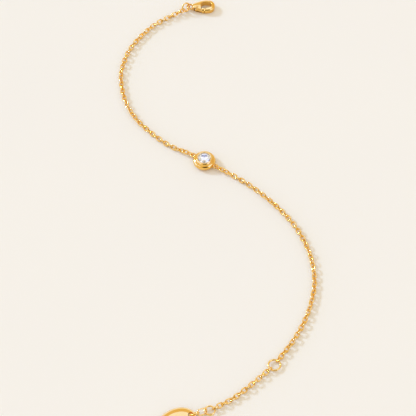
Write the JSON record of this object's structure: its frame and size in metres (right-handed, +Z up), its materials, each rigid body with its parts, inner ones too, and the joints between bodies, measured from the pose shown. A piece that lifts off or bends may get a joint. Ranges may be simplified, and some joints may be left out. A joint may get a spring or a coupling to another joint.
{
  "type": "diamond station bracelet",
  "caption": "Fine cable-chain bracelet with one bezel-set round brilliant, a lobster clasp, a sizing ring and a bare oval end tag, lying open in an S-curve.",
  "frame": {"origin": "middle of the setting's flat underside, on the surface that the bracelet lies on", "axes": "+Z up; +Y towards the clasp end, -Y towards the tag end; the stone faces +Z"},
  "size_m": [0.0513, 0.1398, 0.0026],
  "materials": {
    "polished_gold": "high-polish yellow gold",
    "diamond": "clear faceted round brilliant"
  },
  "bodies": {
    "bracelet": {"chain_clasp_side": "polished_gold", "chain_long": "polished_gold", "chain_end": "polished_gold", "bezel_setting": "polished_gold", "clasp_body": "polished_gold", "clasp_pin": "polished_gold", "clasp_ring": "polished_gold", "sizing_ring": "polished_gold", "end_ring": "polished_gold", "tag_link": "polished_gold", "tag_ring": "polished_gold", "tag": "polished_gold", "diamond": "diamond"},
    "lever": {"clasp_lever": "polished_gold"}
  },
  "joints": [
    {"name": "lever_hinge", "type": "hinge", "parent": "bracelet", "child": "lever", "pos_m": [-0.00202, 0.0531, 0.00085], "axis": [0, 0, 1], "range_deg": [0, 22], "stiffness_Nm_per_rad": 0.002, "springref_deg": -17.19}
  ]
}
